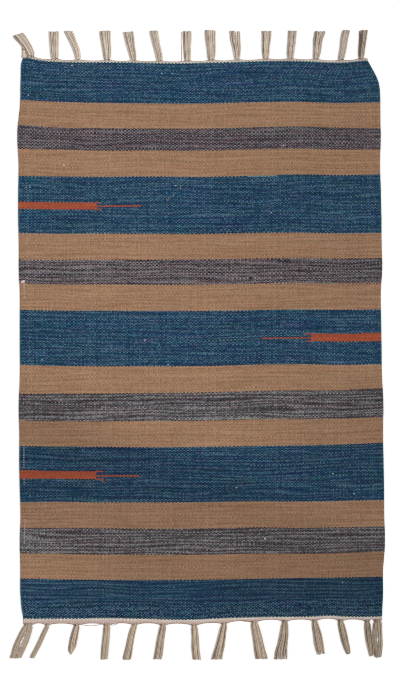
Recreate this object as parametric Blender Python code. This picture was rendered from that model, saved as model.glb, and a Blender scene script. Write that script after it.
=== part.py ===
"""Kilim rug: a flat weft-faced field, a cream band woven at each end, and the warps
knotted off in tassels that lie on the floor.

Metres, +Z up. X runs across the rug, Y along it, and the whole rug rests on Z = 0. The
origin is the middle of the footprint, tassels included.
"""

import bisect
import math
import random
from collections import namedtuple

import bmesh
import bpy
from mathutils import Vector

# Cloth
FIELD_THICKNESS = 0.0042      # over the crest of a rib
RIB_PITCH = 0.0045            # one warp
RIB_DEPTH = 0.0008
RIB_SHOULDER = 0.26           # share of the pitch taken by each slope of a rib
BAND_THICKNESS = 0.0032
PIECE_GAP = 0.0003            # between neighbouring pieces
SAMPLES_PER_ROW = 4           # outline points between two rows of a table

# Scallops of the end bands
SCALLOP_SHARES = (0.14, 0.3, 0.5, 0.7, 0.86)
SCALLOP_POWER = 2.5
TOP_DROP = 0.0020             # how much deeper the band is at a knot
BOTTOM_DROP = 0.0038
KNOT_MARGIN = 0.0010          # band left and right of a knot's collar

# Tassels
STRAND_PITCH = 0.0019         # knot width for each strand
STRAND_WIDTH = 0.0024         # loosened, near the tip
STRAND_GAP = 0.0005
STRAND_HEIGHT = 0.9           # share of the strand's width
STRAND_SEGMENTS = 4
ROOT_FAN = 0.80               # width of the strands' roots as a share of the knot's
ROOT_HEIGHT = 0.0012          # strands leave the knot a little above the floor
ROOT_OUT = 0.0088             # inside the knot
TIP_SHARE = 0.55              # width of a strand's tip as a share of the strand's
TIP_UNEVEN = 0.0030
LEAN_POWER = 1.1              # over 1, so a leaning tassel leaves its knot squarely
WAVE = 0.0016
SEED = 14

WELD = 1e-6

COLOURS = {                   # base colour, linear
    "slate_weft": (0.030, 0.062, 0.112),
    "cream_cotton": (0.470, 0.410, 0.360),
    "fringe_cotton": (0.440, 0.360, 0.270),
}

# Where the two selvedges run, from the bottom end to the top end. The top right corner
# is drawn in.
Selvedge = namedtuple("Selvedge", "along left right")
SELVEDGES = [
    Selvedge(-0.695, -0.4455, 0.4590),
    Selvedge(-0.680, -0.4490, 0.4590),
    Selvedge(-0.640, -0.4525, 0.4610),
    Selvedge(-0.530, -0.4540, 0.4650),
    Selvedge(-0.420, -0.4535, 0.4645),
    Selvedge(-0.300, -0.4555, 0.4620),
    Selvedge(-0.160, -0.4565, 0.4615),
    Selvedge(-0.040, -0.4540, 0.4575),
    Selvedge(+0.120, -0.4550, 0.4555),
    Selvedge(+0.280, -0.4580, 0.4575),
    Selvedge(+0.430, -0.4580, 0.4530),
    Selvedge(+0.530, -0.4600, 0.4550),
    Selvedge(+0.600, -0.4535, 0.4545),
    Selvedge(+0.645, -0.4525, 0.4505),
    Selvedge(+0.665, -0.4520, 0.4430),
    Selvedge(+0.690, -0.4515, 0.4310),
    Selvedge(+0.700, -0.4500, 0.4250),
]

# How far each end of the field lies from the middle, and how deep its cream band is
# between two knots, from left to right.
End = namedtuple("End", "across top bottom top_band bottom_band")
ENDS = [
    End(-0.450, 0.7120, 0.7020, 0.0045, 0.0090),
    End(-0.420, 0.7080, 0.7020, 0.0045, 0.0100),
    End(-0.380, 0.7035, 0.7015, 0.0045, 0.0105),
    End(-0.300, 0.7000, 0.7015, 0.0045, 0.0110),
    End(-0.200, 0.6980, 0.7025, 0.0045, 0.0105),
    End(-0.100, 0.6975, 0.7045, 0.0045, 0.0088),
    End(-0.030, 0.6970, 0.7050, 0.0048, 0.0085),
    End(+0.050, 0.6990, 0.7020, 0.0046, 0.0090),
    End(+0.140, 0.7010, 0.6985, 0.0044, 0.0085),
    End(+0.230, 0.7025, 0.6965, 0.0044, 0.0060),
    End(+0.300, 0.7010, 0.6960, 0.0046, 0.0050),
    End(+0.360, 0.6985, 0.6945, 0.0050, 0.0060),
    End(+0.410, 0.7010, 0.6975, 0.0050, 0.0065),
    End(+0.460, 0.7040, 0.6960, 0.0050, 0.0055),
]

# One row for each tassel, from left to right: where its knot sits and how wide it is, how
# far its end lies from the middle of the rug across and along, and how wide it spreads.
Tassel = namedtuple("Tassel", "root width end_across end_along spread")
TOP_TASSELS = [
    Tassel(-0.422, 0.0165, -0.459, 0.771, 0.0280),
    Tassel(-0.365, 0.0190, -0.368, 0.776, 0.0265),
    Tassel(-0.307, 0.0130, -0.332, 0.777, 0.0230),
    Tassel(-0.233, 0.0170, -0.239, 0.778, 0.0300),
    Tassel(-0.167, 0.0140, -0.180, 0.776, 0.0275),
    Tassel(-0.101, 0.0160, -0.116, 0.778, 0.0220),
    Tassel(-0.031, 0.0165, -0.032, 0.777, 0.0230),
    Tassel(+0.029, 0.0175, +0.026, 0.779, 0.0285),
    Tassel(+0.094, 0.0135, +0.088, 0.777, 0.0320),
    Tassel(+0.166, 0.0155, +0.168, 0.777, 0.0265),
    Tassel(+0.228, 0.0165, +0.233, 0.778, 0.0225),
    Tassel(+0.292, 0.0150, +0.302, 0.777, 0.0290),
    Tassel(+0.355, 0.0155, +0.368, 0.779, 0.0205),
    Tassel(+0.406, 0.0140, +0.412, 0.779, 0.0220),
]
BOTTOM_TASSELS = [
    Tassel(-0.431, 0.0235, -0.464, 0.801, 0.0285),
    Tassel(-0.384, 0.0125, -0.427, 0.803, 0.0150),
    Tassel(-0.310, 0.0165, -0.322, 0.792, 0.0200),
    Tassel(-0.234, 0.0180, -0.241, 0.803, 0.0195),
    Tassel(-0.164, 0.0150, -0.184, 0.804, 0.0220),
    Tassel(-0.093, 0.0160, -0.107, 0.803, 0.0225),
    Tassel(-0.014, 0.0165, -0.008, 0.804, 0.0220),
    Tassel(+0.061, 0.0145, +0.042, 0.803, 0.0290),
    Tassel(+0.137, 0.0180, +0.155, 0.802, 0.0320),
    Tassel(+0.214, 0.0155, +0.203, 0.803, 0.0360),
    Tassel(+0.289, 0.0145, +0.302, 0.790, 0.0280),
    Tassel(+0.354, 0.0150, +0.371, 0.788, 0.0180),
    Tassel(+0.421, 0.0140, +0.429, 0.797, 0.0165),
    Tassel(+0.447, 0.0195, +0.449, 0.799, 0.0180),
]

# Cross-sections of a knot on its way out: the collar that leaves the band, the waist, the
# bulge of the knot and the neck that holds the strands.
KnotSection = namedtuple("KnotSection", "out half_width height lean")
KNOT = [
    KnotSection(0.0000, 0.44, 0.0030, 0.00),
    KnotSection(0.0022, 0.40, 0.0034, 0.04),
    KnotSection(0.0042, 0.52, 0.0062, 0.12),
    KnotSection(0.0074, 0.55, 0.0066, 0.12),
    KnotSection(0.0100, 0.48, 0.0046, 0.04),
    KnotSection(0.0112, 0.45, 0.0034, 0.00),
]
# Half of a knot's cross-section, from the floor up: shares of its half width and height.
SectionPoint = namedtuple("SectionPoint", "aside up")
KNOT_HALF = [
    SectionPoint(0.80, 0.00),
    SectionPoint(1.00, 0.36),
    SectionPoint(0.76, 0.80),
    SectionPoint(0.30, 1.00),
]


def clear_scene():
    for obj in list(bpy.data.objects):
        bpy.data.objects.remove(obj, do_unlink=True)


def add_collection(name):
    collection = bpy.data.collections.new(name)
    bpy.context.scene.collection.children.link(collection)
    return collection


def make_material(name):
    material = bpy.data.materials.new(name)
    material.use_nodes = True
    shader = material.node_tree.nodes["Principled BSDF"]
    shader.inputs["Base Color"].default_value = (*COLOURS[name], 1.0)
    shader.inputs["Roughness"].default_value = 0.9
    shader.inputs["Metallic"].default_value = 0.0
    material.diffuse_color = (*COLOURS[name], 1.0)
    return material


def smooth_value(rows, column, place):
    """A table's column at a place between its rows, on a smooth curve through them."""
    places = [row[0] for row in rows]
    values = [getattr(row, column) for row in rows]
    last = len(rows) - 1
    place = min(max(place, places[0]), places[last])
    i = min(bisect.bisect_right(places, place) - 1, last - 1)
    span = places[i + 1] - places[i]
    t = (place - places[i]) / span

    def slope(k):
        before, after = max(k - 1, 0), min(k + 1, last)
        return (values[after] - values[before]) / (places[after] - places[before]) * span

    start = values[i] * (1 + 2 * t) + slope(i) * t
    end = values[i + 1] * (3 - 2 * t) - slope(i + 1) * (1 - t)
    return start * (1 - t) ** 2 + end * t**2


def places_between(rows, low, high):
    """Places from low to high, with a fixed number between each two rows of the table."""
    inner = []
    for row, following in zip(rows, rows[1:]):
        for step in range(SAMPLES_PER_ROW):
            inner.append(row[0] + (following[0] - row[0]) * step / SAMPLES_PER_ROW)
    margin = RIB_PITCH
    return [low, *(p for p in inner if low + margin < p < high - margin), high]


def corner(side, edge):
    """A corner of the field: side is top or bottom, and edge is left or right."""
    row = SELVEDGES[-1] if side == "top" else SELVEDGES[0]
    across = getattr(row, edge)
    along = smooth_value(ENDS, side, across)
    return Vector((across, along if side == "top" else -along))


def field_outline():
    """The field's outline, anticlockwise from its bottom left corner."""
    points = []
    for across in places_between(ENDS, corner("bottom", "left").x, corner("bottom", "right").x):
        points.append(Vector((across, -smooth_value(ENDS, "bottom", across))))
    rights = places_between(SELVEDGES, corner("bottom", "right").y, corner("top", "right").y)
    for along in rights[1:-1]:
        points.append(Vector((smooth_value(SELVEDGES, "right", along), along)))
    tops = places_between(ENDS, corner("top", "left").x, corner("top", "right").x)
    for across in reversed(tops):
        points.append(Vector((across, smooth_value(ENDS, "top", across))))
    lefts = places_between(SELVEDGES, corner("bottom", "left").y, corner("top", "left").y)
    for along in reversed(lefts[1:-1]):
        points.append(Vector((smooth_value(SELVEDGES, "left", along), along)))
    return points


def rib_profile(half_width):
    """Cross-section of the ribbed cloth, wider than the field, in its own X and Z."""
    ribs = math.ceil(half_width / RIB_PITCH) + 1
    edge, valley = ribs * RIB_PITCH, FIELD_THICKNESS - RIB_DEPTH
    points = [Vector((edge, 0.0)), Vector((edge, valley))]
    for rib in range(ribs - 1, -ribs - 1, -1):
        low = rib * RIB_PITCH
        points.append(Vector((low + (1 - RIB_SHOULDER) * RIB_PITCH, FIELD_THICKNESS)))
        points.append(Vector((low + RIB_SHOULDER * RIB_PITCH, FIELD_THICKNESS)))
        points.append(Vector((low, valley)))
    points.append(Vector((-edge, 0.0)))
    return points


def outline_curve(name, points, thickness, collection):
    """A flat outline, filled and extruded to its thickness about its own plane."""
    curve = bpy.data.curves.new(name, "CURVE")
    curve.dimensions = "2D"
    curve.fill_mode = "BOTH"
    curve.extrude = thickness / 2
    spline = curve.splines.new("POLY")
    spline.points.add(len(points) - 1)
    for point, place in zip(spline.points, points):
        point.co = (place.x, place.y, 0.0, 1.0)
    spline.use_cyclic_u = True
    obj = bpy.data.objects.new(name, curve)
    collection.objects.link(obj)
    return obj


def mesh_from_curve(curve_object, collection):
    """Puts a welded mesh object in the place of a curve object."""
    bpy.context.view_layer.update()
    graph = bpy.context.evaluated_depsgraph_get()
    mesh = bpy.data.meshes.new_from_object(curve_object.evaluated_get(graph))
    solid = bmesh.new()
    solid.from_mesh(mesh)
    bmesh.ops.remove_doubles(solid, verts=solid.verts, dist=WELD)
    solid.to_mesh(mesh)
    solid.free()
    name, place = curve_object.name, curve_object.matrix_world.copy()
    bpy.data.objects.remove(curve_object, do_unlink=True)
    obj = bpy.data.objects.new(name, mesh)
    obj.matrix_world = place
    collection.objects.link(obj)
    return obj


def make_helper(obj):
    obj.hide_render = True
    obj.display_type = "WIRE"


def add_boolean(obj, name, operation, other):
    modifier = obj.modifiers.new(name, "BOOLEAN")
    modifier.operation = operation
    modifier.solver = "EXACT"
    modifier.object = other


def make_field(material, parts, cutters):
    """The ribbed cloth, cut to the field's outline."""
    outline = field_outline()
    half_length = max(abs(point.y) for point in outline) + RIB_PITCH
    half_width = max(abs(point.x) for point in outline)
    field = outline_curve("woven_field", rib_profile(half_width), 2 * half_length, parts)
    field.rotation_euler.x = math.pi / 2
    field = mesh_from_curve(field, parts)
    cutter = outline_curve("field_outline", outline, 4 * FIELD_THICKNESS, cutters)
    cutter = mesh_from_curve(cutter, cutters)
    make_helper(cutter)
    add_boolean(field, "Outline", "INTERSECT", cutter)
    field.data.materials.append(material)


def band_depth(side, across):
    return smooth_value(ENDS, side, across) + smooth_value(ENDS, side + "_band", across)


def knot_place(side, tassel):
    """How far out the band reaches at a tassel's knot."""
    drop = TOP_DROP if side == "top" else BOTTOM_DROP
    return band_depth(side, tassel.root) + drop


def band_outline(side, tassels):
    """An end band's outline: level at each knot, and scalloped between two knots."""
    left, right = corner(side, "left").x, corner(side, "right").x
    drop = TOP_DROP if side == "top" else BOTTOM_DROP
    outer = [Vector((left, band_depth(side, left)))]
    plateau_end = None
    for tassel in tassels:
        reach = tassel.width * KNOT[0].half_width + KNOT_MARGIN
        start = tassel.root - reach
        if plateau_end is not None:
            for share in SCALLOP_SHARES:
                across = plateau_end + (start - plateau_end) * share
                depth = drop * abs(2 * share - 1) ** SCALLOP_POWER
                outer.append(Vector((across, band_depth(side, across) + depth)))
        outer.append(Vector((start, knot_place(side, tassel))))
        plateau_end = tassel.root + reach
        outer.append(Vector((plateau_end, knot_place(side, tassel))))
    outer.append(Vector((right, band_depth(side, right))))
    inner = []
    for across in reversed(places_between(ENDS, left, right)):
        inner.append(Vector((across, smooth_value(ENDS, side, across) + PIECE_GAP)))
    sign = 1 if side == "top" else -1
    return [Vector((point.x, sign * point.y)) for point in outer + inner]


def make_band(side, tassels, material, parts):
    """The cream band that the warps and a few plain picks make at one end."""
    band = outline_curve(f"end_band_{side}", band_outline(side, tassels), BAND_THICKNESS, parts)
    band.location.z = BAND_THICKNESS / 2
    band.data.materials.append(material)


def loft(shell, sections):
    """Joins rings of the same number of points by quads, and caps both ends."""
    rings = [[shell.verts.new(point) for point in section] for section in sections]
    for ring, following in zip(rings, rings[1:]):
        for i in range(len(ring)):
            j = (i + 1) % len(ring)
            shell.faces.new((ring[i], ring[j], following[j], following[i]))
    shell.faces.new(reversed(rings[0]))
    shell.faces.new(rings[-1])


def bmesh_object(name, shell, collection):
    bmesh.ops.recalc_face_normals(shell, faces=shell.faces)
    mesh = bpy.data.meshes.new(name)
    shell.to_mesh(mesh)
    shell.free()
    obj = bpy.data.objects.new(name, mesh)
    collection.objects.link(obj)
    return obj


def knot_sections(width):
    """Rings of a knot, flat below and rounded above, with its bulge wrapped aslant."""
    right = [(point.aside, point.up) for point in KNOT_HALF]
    ring = right + [(-aside, up) for aside, up in reversed(right)]
    for section in KNOT:
        half = section.half_width * width
        yield [
            Vector((aside * half, section.out + section.lean * aside * half, up * section.height))
            for aside, up in ring
        ]


def strand_sections(index, count, width, spread, end, chance):
    """Rings of one strand: three-sided, fanning out from the knot to lie on the floor."""
    place = (index + 0.5) / count - 0.5
    reach = end.y + chance.uniform(-TIP_UNEVEN, TIP_UNEVEN)
    phase = end.x / STRAND_WIDTH
    for step in range(STRAND_SEGMENTS + 1):
        share = step / STRAND_SEGMENTS
        fan = ROOT_FAN * width * (1 - share) + spread * share
        half = min(STRAND_WIDTH, fan / count - STRAND_GAP) / 2
        if step == STRAND_SEGMENTS:
            half *= TIP_SHARE
        wave = WAVE * math.sin(phase + 2 * math.pi * share) * math.sin(math.pi * share)
        across = place * fan + end.x * share**LEAN_POWER + wave
        out = ROOT_OUT + (reach - ROOT_OUT) * share
        low = ROOT_HEIGHT if step == 0 else 0.0
        yield [
            Vector((across - half, out, low)),
            Vector((across + half, out, low)),
            Vector((across, out, low + 2 * half * STRAND_HEIGHT)),
        ]


def make_tassel(side, number, tassel, material, parts, helpers):
    """A knot with its strands, modelled pointing along its own +Y and then placed."""
    name = f"tassel_{side}_{number:02d}"
    sign = 1 if side == "top" else -1
    start = knot_place(side, tassel) + PIECE_GAP
    end = Vector((sign * (tassel.end_across - tassel.root), tassel.end_along - start))
    knot_shell = bmesh.new()
    loft(knot_shell, list(knot_sections(tassel.width)))
    knot = bmesh_object(name, knot_shell, parts)
    strand_shell = bmesh.new()
    count = round(tassel.width / STRAND_PITCH)
    chance = random.Random(SEED * number + sign)
    for index in range(count):
        rings = list(strand_sections(index, count, tassel.width, tassel.spread, end, chance))
        loft(strand_shell, rings)
    strands = bmesh_object(name + "_strands", strand_shell, helpers)
    make_helper(strands)
    for obj in (knot, strands):
        obj.location = (tassel.root, sign * start, 0.0)
        obj.rotation_euler.z = 0.0 if side == "top" else math.pi
    add_boolean(knot, "Strands", "UNION", strands)
    knot.data.materials.append(material)


def centre_on_footprint(parts, helpers):
    """Hangs everything on an empty that brings the middle of the footprint to the origin."""
    bpy.context.view_layer.update()
    graph = bpy.context.evaluated_depsgraph_get()
    points = []
    for obj in parts.objects:
        evaluated = obj.evaluated_get(graph)
        mesh = evaluated.to_mesh()
        points += [evaluated.matrix_world @ vertex.co for vertex in mesh.vertices]
        evaluated.to_mesh_clear()
    middle = [
        (min(point[axis] for point in points) + max(point[axis] for point in points)) / 2
        for axis in range(2)
    ]
    rug = bpy.data.objects.new("kilim_rug", None)
    rug.location = (-middle[0], -middle[1], 0.0)
    for obj in [*parts.objects, *helpers.objects]:
        obj.parent = rug
    parts.objects.link(rug)


def main():
    clear_scene()
    parts = add_collection("kilim_rug")
    helpers = add_collection("cutters_and_strands")
    make_field(make_material("slate_weft"), parts, helpers)
    cream = make_material("cream_cotton")
    cotton = make_material("fringe_cotton")
    for side, tassels in (("top", TOP_TASSELS), ("bottom", BOTTOM_TASSELS)):
        make_band(side, tassels, cream, parts)
        for number, tassel in enumerate(tassels, start=1):
            make_tassel(side, number, tassel, cotton, parts, helpers)
    centre_on_footprint(parts, helpers)


main()
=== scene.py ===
import math
import random

import bpy
import numpy as np
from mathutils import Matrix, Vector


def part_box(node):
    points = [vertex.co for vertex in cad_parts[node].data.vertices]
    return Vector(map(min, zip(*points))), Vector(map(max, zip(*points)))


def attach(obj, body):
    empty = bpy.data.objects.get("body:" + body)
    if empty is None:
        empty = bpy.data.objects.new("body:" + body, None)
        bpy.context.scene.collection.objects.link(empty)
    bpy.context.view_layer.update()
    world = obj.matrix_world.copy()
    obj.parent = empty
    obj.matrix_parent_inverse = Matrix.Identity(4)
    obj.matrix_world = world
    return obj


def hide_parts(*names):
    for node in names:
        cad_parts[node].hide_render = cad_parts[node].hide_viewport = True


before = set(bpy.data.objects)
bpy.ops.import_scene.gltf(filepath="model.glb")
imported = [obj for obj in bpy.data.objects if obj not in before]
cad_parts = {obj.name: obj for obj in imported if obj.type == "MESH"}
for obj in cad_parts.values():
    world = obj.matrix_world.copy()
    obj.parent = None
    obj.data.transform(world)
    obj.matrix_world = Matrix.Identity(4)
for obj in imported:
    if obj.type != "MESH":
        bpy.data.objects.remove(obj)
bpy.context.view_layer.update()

scene = bpy.context.scene


# small helpers

def dye(red, green, blue):  # a colour given as it looks on a screen, 0 to 255
    return [((c / 255 + 0.055) / 1.055) ** 2.4 for c in (red, green, blue)] + [1]


def smoothCurve(places, values, at):  # a smooth line through a table's rows
    places, values, at = (np.asarray(part, float) for part in (places, values, at))
    last = len(places) - 1
    before, after = np.arange(last + 1) - 1, np.arange(last + 1) + 1
    before[0], after[last] = 0, last
    slopes = (values[after] - values[before]) / (places[after] - places[before])
    at = np.clip(at, places[0], places[-1])
    i = np.clip(np.searchsorted(places, at, "right") - 1, 0, last - 1)
    span = places[i + 1] - places[i]
    t = (at - places[i]) / span
    start = values[i] * (1 + 2 * t) + slopes[i] * span * t
    end = values[i + 1] * (3 - 2 * t) - slopes[i + 1] * span * (1 - t)
    return start * (1 - t) ** 2 + end * t**2


def sums(operation, turned=False):  # how a Signal takes part in one kind of sum
    def work(self, other):
        values = (other, self) if turned else (self, other)
        return self.nodes.math(operation, *values)
    return work


class Signal:  # a node's output that can be used in sums
    def __init__(self, nodes, socket):
        self.nodes, self.socket = nodes, socket

    __add__, __radd__ = sums("ADD"), sums("ADD", turned=True)
    __sub__, __rsub__ = sums("SUBTRACT"), sums("SUBTRACT", turned=True)
    __mul__, __truediv__, __mod__ = sums("MULTIPLY"), sums("DIVIDE"), sums("FLOORED_MODULO")
    __gt__, __lt__ = sums("GREATER_THAN"), sums("LESS_THAN")


class Nodes:  # builds a material's or a modifier's node tree
    def __init__(self, tree):
        self.tree = tree
        tree.nodes.clear()

    def add(self, kind, sockets=None, settings=None, output=0):
        node = self.tree.nodes.new(kind)
        for name, value in (settings or {}).items():
            setattr(node, name, value)
        for name, value in (sockets or {}).items():
            if isinstance(value, Signal):
                self.tree.links.new(value.socket, node.inputs[name])
            else:
                node.inputs[name].default_value = value
        return Signal(self, node.outputs[output]) if node.outputs else node

    def math(self, operation, *values):
        return self.add("ShaderNodeMath", dict(enumerate(values)), {"operation": operation})

    def clamp(self, value):
        return self.add("ShaderNodeClamp", {"Value": value})

    def vector(self, x, y, z=0):
        return self.add("ShaderNodeCombineXYZ", {"X": x, "Y": y, "Z": z})

    def split(self, vector):
        first = self.add("ShaderNodeSeparateXYZ", {"Vector": vector})
        return [Signal(self, output) for output in first.socket.node.outputs]

    def noise(self, vector, scale, detail):
        sockets = {"Vector": vector, "Scale": scale, "Detail": detail}
        return self.add("ShaderNodeTexNoise", sockets)

    def chance(self, x, y, z=0):  # a fixed random number for each whole x, y
        return self.add("ShaderNodeTexWhiteNoise", {"Vector": self.vector(x, y, z)})

    def place(self):
        return self.add("ShaderNodeTexCoord", {}, {}, "Object")

    def blend(self, share, first, second, kind="MIX"):
        settings = {"data_type": "RGBA", "blend_type": kind}
        return self.add("ShaderNodeMix", {0: share, 6: first, 7: second}, settings, 2)

    def steps(self, index, colours):  # one colour for each whole number
        count = len(colours)
        chosen = self.add("ShaderNodeValToRGB", {"Fac": (index + 0.5) / count})
        ramp = chosen.socket.node.color_ramp
        ramp.interpolation = "CONSTANT"
        while len(ramp.elements) < count:
            ramp.elements.new(0.5)
        for i, (element, colour) in enumerate(zip(ramp.elements, colours)):
            element.position, element.color = i / count, colour
        return chosen

    def smoothStep(self, value, low, high, start=0, end=1):
        sockets = {0: value, 1: low, 2: high, 3: start, 4: end}
        return self.add("ShaderNodeMapRange", sockets, {"interpolation_type": "SMOOTHSTEP"})

    def cloth(self, colour, beads, fibre, finish):
        smoothest, more, share, depth, sheen = finish
        bump = {"Height": beads + fibre * share, "Distance": depth, "Strength": 0.8}
        sockets = {
            "Base Color": colour, "Roughness": smoothest + fibre * more,
            "Normal": self.add("ShaderNodeBump", bump),
            "Specular IOR Level": 0.12, "Sheen Weight": sheen, "Sheen Roughness": 0.6,
        }
        shader = self.add("ShaderNodeBsdfPrincipled", sockets)
        self.add("ShaderNodeOutputMaterial", {"Surface": shader})


def newMaterial(name):
    material = bpy.data.materials.new(name)
    material.use_nodes = True
    return material, Nodes(material.node_tree)


def newObject(name, data, material=None):
    piece = bpy.data.objects.new(name, data)
    scene.collection.objects.link(piece)
    if material:
        data.materials.append(material)
    return piece


# the rug's outline, in metres from the middle of the woven field

rugShape = {
    # along, left selvedge, right selvedge
    "selvedges": [
        (-0.695, -0.4448, 0.4585), (-0.68, -0.4483, 0.4588), (-0.64, -0.4518, 0.4605),
        (-0.585, -0.453, 0.4612), (-0.53, -0.4533, 0.465), (-0.42, -0.4528, 0.4645),
        (-0.3, -0.4548, 0.462), (-0.16, -0.4558, 0.4615), (-0.04, -0.4533, 0.4575),
        (0.12, -0.4543, 0.456), (0.19, -0.456, 0.4588), (0.28, -0.4573, 0.4574),
        (0.43, -0.4573, 0.4544), (0.53, -0.4593, 0.455), (0.6, -0.453, 0.4545),
        (0.645, -0.4516, 0.4505), (0.665, -0.451, 0.443), (0.69, -0.4505, 0.4296),
        (0.703, -0.448, 0.4225), (0.712, -0.444, 0.42),
    ],
    # across, top end, bottom end, depth of the top band, depth of the bottom band
    "ends": [
        (-0.452, 0.708, 0.7012, 0.003, 0.0085), (-0.435, 0.7107, 0.7014, 0.0012, 0.0095),
        (-0.415, 0.7067, 0.702, 0.0028, 0.01), (-0.38, 0.7017, 0.702, 0.0036, 0.0105),
        (-0.3, 0.6993, 0.7014, 0.0036, 0.0112), (-0.24, 0.6993, 0.7003, 0.003, 0.0118),
        (-0.15, 0.6981, 0.7018, 0.003, 0.01), (-0.07, 0.6968, 0.704, 0.0033, 0.0088),
        (-0.015, 0.6975, 0.704, 0.0034, 0.009), (0.05, 0.6991, 0.701, 0.0034, 0.009),
        (0.11, 0.7005, 0.6988, 0.0034, 0.0068), (0.175, 0.7026, 0.6975, 0.0034, 0.0058),
        (0.26, 0.7021, 0.697, 0.0036, 0.0056), (0.33, 0.6986, 0.6942, 0.004, 0.0062),
        (0.36, 0.6985, 0.6962, 0.004, 0.0055), (0.41, 0.7031, 0.6972, 0.0034, 0.0055),
        (0.46, 0.7035, 0.6955, 0.003, 0.005),
    ],
}

outlineColumns = {
    "left": ("selvedges", 1), "right": ("selvedges", 2),
    "top": ("ends", 1), "bottom": ("ends", 2), "topBand": ("ends", 3), "bottomBand": ("ends", 4),
}


def outline(name, at):
    table, column = outlineColumns[name]
    rows = np.array(rugShape[table])
    return smoothCurve(rows[:, 0], rows[:, column], at)


fieldLow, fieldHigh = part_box("woven_field")
span = np.linspace(-0.7, 0.71, 565)
middleAcross = (outline("left", span).min() + outline("right", span).max()) / 2
span = np.linspace(-0.45, 0.46, 365)
middleAlong = (outline("top", span).max() - outline("bottom", span).max()) / 2
offset = np.array([
    (fieldLow[0] + fieldHigh[0]) / 2 - middleAcross,
    (fieldLow[1] + fieldHigh[1]) / 2 - middleAlong,
    0,
])
print("rug placed at", offset.round(5))


# woven field

fieldValues = {
    "thickness": 0.0042,
    "ribDepth": 0.0004,
    "swell": 0.00025,  # how unevenly the cloth is beaten up
    # its waves each way: how fast, how far they sway, and how fast they sway
    "waves": [(23, 3, 7), (31, 2, 9)],
    # share of the thickness at the selvedges, taken off beside them, and left at the ends
    "edges": (0.72, 0.06, 0.8),
    "pickPitch": 0.0015,
    "warps": 204,
    # share of the width, and warps counted from the left
    "warpCounts": [(0, 0), (0.5, 102), (0.73, 147), (1, 204)],
    "rows": 190,  # rows of faces along the rug
    "undersideStep": 2,
    # yarn and height in millimetres, from the top end down
    "stripes": [
        ("cream", 0.65), ("blue", 103.45), ("tan", 62.6), ("grey", 56.4), ("tan", 64.9),
        ("blue", 144.7), ("tan", 65.4), ("greyMid", 63.1), ("tan", 65.7),
        ("blue", 138.6), ("tan", 66.4), ("greyStreaked", 70.9), ("tan", 65.4),
        ("blueStreaked", 139.9), ("tan", 66.8), ("greyStreaked", 65), ("tan", 62),
        ("blueStreaked", 98.2), ("cream", 0.8),
    ],
    # stripes, counted from 0 at the top, with a step in their lower edge: first and last
    # warp, picks up
    "steps": [(4, 144, 203, 1), (7, 0, 3, 2), (10, 184, 203, 1), (11, 0, 3, 2)],
    "drawIn": {"tan": (0.0012, 0.001)},  # how far a stripe's selvedges are drawn in
    # how far the picks rise and dip, in millimetres, at nine places across
    "riseAcross": [-0.443, -0.35, -0.25, -0.14, 0, 0.14, 0.25, 0.345, 0.45],
    "rise": [
        (0.6, [6.6, 1.8, -0.7, -1.8, -2.4, 1.1, 2.2, -1.2, 0.8]),
        (0.54, [7.2, 0.1, -0.9, -2.2, -2.5, 1.5, 3.4, 0.1, -1.6]),
        (0.5, [4, 0.6, -1.8, -1.6, -2.5, 1.7, 2.5, 0.3, 0]),
        (0.455, [2.1, -0.3, -2, -1.5, -2.5, 1.4, 3, 1, 1.5]),
        (0.4155, [-0.1, -1.5, -2.2, -1.3, -2.4, 0.6, 2.3, 0.6, 2.1]),
        (0.385, [-0.4, -1.6, -2.2, -1.3, -2.4, 0.9, 3.7, 2, 3.6]),
        (0.27, [0.1, -1.6, -1, -1.1, -1.7, 0.9, 1.4, -0.4, 1]),
        (0.2, [-0.3, -1.5, -0.7, -0.8, 0.1, 2, 3.4, 2.4, 3.8]),
        (0.11, [2.3, 0, 0.2, -0.5, -0.6, 1.7, 3.2, 2.5, 3.2]),
        (-0.06, [1.5, -1, -1.6, -1.6, -1.6, 2, 3.6, 1.6, 2.8]),
        (-0.13, [-5.2, -4.4, -4.2, -3.3, -1.9, 1.9, 3.4, 3.5, 6.8]),
        (-0.2, [-2.4, -2.3, -2.4, -1.5, -0.9, 2.7, 3, 4.1, 7.6]),
        (-0.27, [0, -1.6, -2.4, -3.2, -2.4, 0.1, 1.5, 3.6, 8]),
        (-0.41, [-2.3, -1.1, -2.4, -2.2, -1.9, 0.6, -0.3, 1, 3.2]),
        (-0.475, [0.7, 0.9, -0.3, -0.9, -0.8, 2.3, 0.9, 2.2, 4.4]),
        (-0.54, [0.9, 0, -2, -2.3, -2.2, 0.6, 0.2, 1.8, 6]),
        (-0.6, [0.7, -0.9, -2.2, -2.9, -1.9, 0.4, 2.4, 3.4, 5.6]),
    ],
}

clothHeight = sum(height for yarn, height in fieldValues["stripes"]) / 1000
clothTop = 0.7013
clothBottom = clothTop - clothHeight
pickCount = round(clothHeight / fieldValues["pickPitch"])
shares, counts = zip(*fieldValues["warpCounts"])


def weftRise(across, along):  # across is the places of one row
    rows = [(clothBottom, -outline("bottom", across) - clothBottom)]
    for place, values in sorted(fieldValues["rise"]):
        rows.append((place, smoothCurve(fieldValues["riseAcross"], values, across) / 1000))
    rows.append((clothTop, outline("top", across) - clothTop))
    places = [row[0] for row in rows]
    i = min(max(int(np.searchsorted(places, along, "right")) - 1, 0), len(rows) - 2)
    t = (along - places[i]) / (places[i + 1] - places[i])
    t = t * t * (3 - 2 * t)
    return rows[i][1] * (1 - t) + rows[i + 1][1] * t


def drawnIn(along):  # at the left and at the right selvedge
    places, draws, top = [], [], clothTop
    for yarn, height in fieldValues["stripes"]:
        draw = fieldValues["drawIn"].get(yarn, (0, 0))
        places += [top - 0.25 * height / 1000, top - 0.75 * height / 1000]
        draws += [draw, draw]
        top -= height / 1000
    left, right = zip(*draws)
    return [np.interp(-along, -np.array(places), side) for side in (left, right)]


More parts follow.
